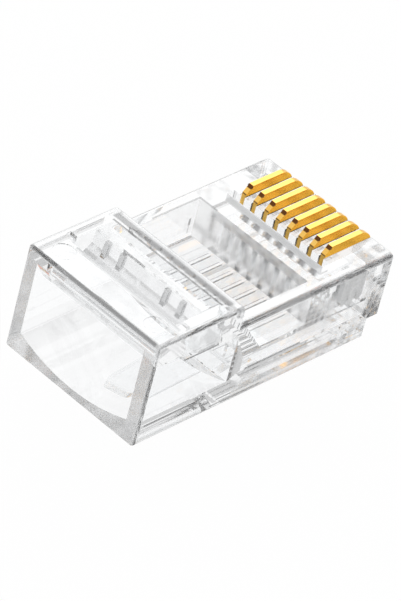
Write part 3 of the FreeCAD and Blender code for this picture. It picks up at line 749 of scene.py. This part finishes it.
def make_world(stage):
    """White to the camera. The plug sees a white room with a dark side and two grey walls.

    A patch has its full shade where the cosine to its aim is over the first limit, and
    none where it is under the second.
    """
    world = bpy.data.worlds.new("studio")
    bpy.context.scene.world = world
    world.use_nodes = True
    tree = world.node_tree
    tree.nodes.clear()
    output = tree.nodes.new("ShaderNodeOutputWorld")
    direction = add(tree, "ShaderNodeTexCoord").outputs["Generated"]
    sky = None
    for aim, inner, outer, shade in (
            (DARK_AIM, 0.90, 0.55, stage.dark_side),
            (GREY_AIMS[0], 0.93, 0.72, stage.grey_side),
            (GREY_AIMS[1], 0.93, 0.72, stage.grey_side)):
        facing = add(tree, "ShaderNodeVectorMath", operation="DOT_PRODUCT")
        link(tree, direction, facing.inputs[0])
        facing.inputs[1].default_value = aim
        patch = add(tree, "ShaderNodeMapRange", interpolation_type="SMOOTHSTEP")
        patch.inputs["From Min"].default_value = outer
        patch.inputs["From Max"].default_value = inner
        patch.inputs["To Min"].default_value = 1.0
        patch.inputs["To Max"].default_value = shade
        link(tree, facing.outputs["Value"], patch.inputs["Value"])
        sky = patch.outputs[0] if sky is None else calc(tree, "MINIMUM", sky, patch.outputs[0])
    room = add(tree, "ShaderNodeBackground")
    room.inputs["Strength"].default_value = stage.room
    link(tree, sky, room.inputs["Color"])
    white = add(tree, "ShaderNodeBackground")
    white.inputs["Color"].default_value = (1.0, 1.0, 1.0, 1.0)
    white.inputs["Strength"].default_value = 1.0
    rays = add(tree, "ShaderNodeLightPath")
    mix = add(tree, "ShaderNodeMixShader")
    link(tree, rays.outputs["Is Camera Ray"], mix.inputs[0])
    link(tree, room.outputs[0], mix.inputs[1])
    link(tree, white.outputs[0], mix.inputs[2])
    link(tree, mix.outputs[0], output.inputs["Surface"])


def make_lamp(name, place, target, size, power):
    """A square soft lamp that the camera doesn't see."""
    data = bpy.data.lights.new(name, "AREA")
    data.shape = "SQUARE"
    data.size = size
    data.energy = power
    lamp = bpy.data.objects.new(name, data)
    lamp.location = place
    lamp.rotation_mode = "QUATERNION"
    lamp.rotation_quaternion = (Vector(place) - Vector(target)).to_track_quat("Z", "Y")
    lamp.visible_camera = False
    lamp.visible_transmission = False
    bpy.context.scene.collection.objects.link(lamp)


def make_camera(stage):
    """The photograph's viewpoint, without lens shift."""
    turn, rise, roll = stage.azimuth, stage.elevation, stage.roll
    back = Vector((math.sin(turn) * math.cos(rise), -math.cos(turn) * math.cos(rise),
                   math.sin(rise)))
    level = Vector((math.cos(turn), math.sin(turn), 0.0))
    upright = back.cross(level)
    right = level * math.cos(roll) + upright * math.sin(roll)
    up = upright * math.cos(roll) - level * math.sin(roll)
    place = Vector(stage.aim) + back * stage.distance
    data = bpy.data.cameras.new("camera")
    data.sensor_width = 36.0
    data.lens = stage.lens
    data.clip_start = 0.02
    data.clip_end = 20.0
    camera = bpy.data.objects.new("camera", data)
    camera.matrix_world = Matrix((
        (right.x, up.x, back.x, place.x), (right.y, up.y, back.y, place.y),
        (right.z, up.z, back.z, place.z), (0.0, 0.0, 0.0, 1.0)))
    bpy.context.scene.collection.objects.link(camera)
    bpy.context.scene.camera = camera


class PLUG_OT_set_stage(bpy.types.Operator):
    """Build the floor, the room, the soft lamp and the camera"""

    bl_idname = "plug.set_stage"
    bl_label = "Set Stage"

    def execute(self, context):
        stage = context.scene.plug_stage
        context.scene.view_settings.view_transform = "Standard"
        # Reflections inside the clear plastic count as glossy bounces.
        context.scene.cycles.max_bounces = LIGHT_BOUNCES
        context.scene.cycles.transmission_bounces = LIGHT_BOUNCES
        context.scene.cycles.glossy_bounces = LIGHT_BOUNCES
        make_floor(stage)
        make_world(stage)
        middle = (Vector(CAD_BOX[0]) + Vector(CAD_BOX[1])) / 2
        make_lamp("softbox_behind", middle + Vector(LAMP_SIDE) * LAMP_DISTANCE, middle,
                  LAMP_SIZE, stage.softbox)
        make_camera(stage)
        return {"FINISHED"}


# Panel and registration

class PLUG_PT_sidebar(bpy.types.Panel):
    """Settings and steps of the clear plug"""

    bl_idname = "PLUG_PT_sidebar"
    bl_label = "Clear Plug"
    bl_space_type = "VIEW_3D"
    bl_region_type = "UI"
    bl_category = "Plug"

    def draw(self, context):
        for settings, steps in PANEL_ROWS:
            box = self.layout.box()
            group = getattr(context.scene, settings)
            for name in group.__annotations__:
                box.prop(group, name)
            for step in steps:
                box.operator(step)


PANEL_ROWS = (
    ("plug_plastic", ("plug.finish_housing", "plug.finish_latch", "plug.finish_clamp")),
    ("plug_contacts", ("plug.finish_contacts",)),
    ("plug_stage", ("plug.set_stage",)),
)
CLASSES = (
    PlugPlasticSettings, PlugContactSettings, PlugStageSettings,
    PLUG_OT_finish_housing, PLUG_OT_finish_latch, PLUG_OT_finish_clamp,
    PLUG_OT_finish_contacts, PLUG_OT_set_stage, PLUG_PT_sidebar,
)


def register():
    for kind in CLASSES:
        bpy.utils.register_class(kind)
    bpy.types.Scene.plug_plastic = bpy.props.PointerProperty(type=PlugPlasticSettings)
    bpy.types.Scene.plug_contacts = bpy.props.PointerProperty(type=PlugContactSettings)
    bpy.types.Scene.plug_stage = bpy.props.PointerProperty(type=PlugStageSettings)


def unregister():
    del bpy.types.Scene.plug_stage
    del bpy.types.Scene.plug_contacts
    del bpy.types.Scene.plug_plastic
    for kind in reversed(CLASSES):
        bpy.utils.unregister_class(kind)


def main():
    register()
    bpy.ops.plug.finish_housing()
    bpy.ops.plug.finish_latch()
    bpy.ops.plug.finish_clamp()
    bpy.ops.plug.finish_contacts()
    bpy.ops.plug.set_stage()


if __name__ == "__main__":
    main()
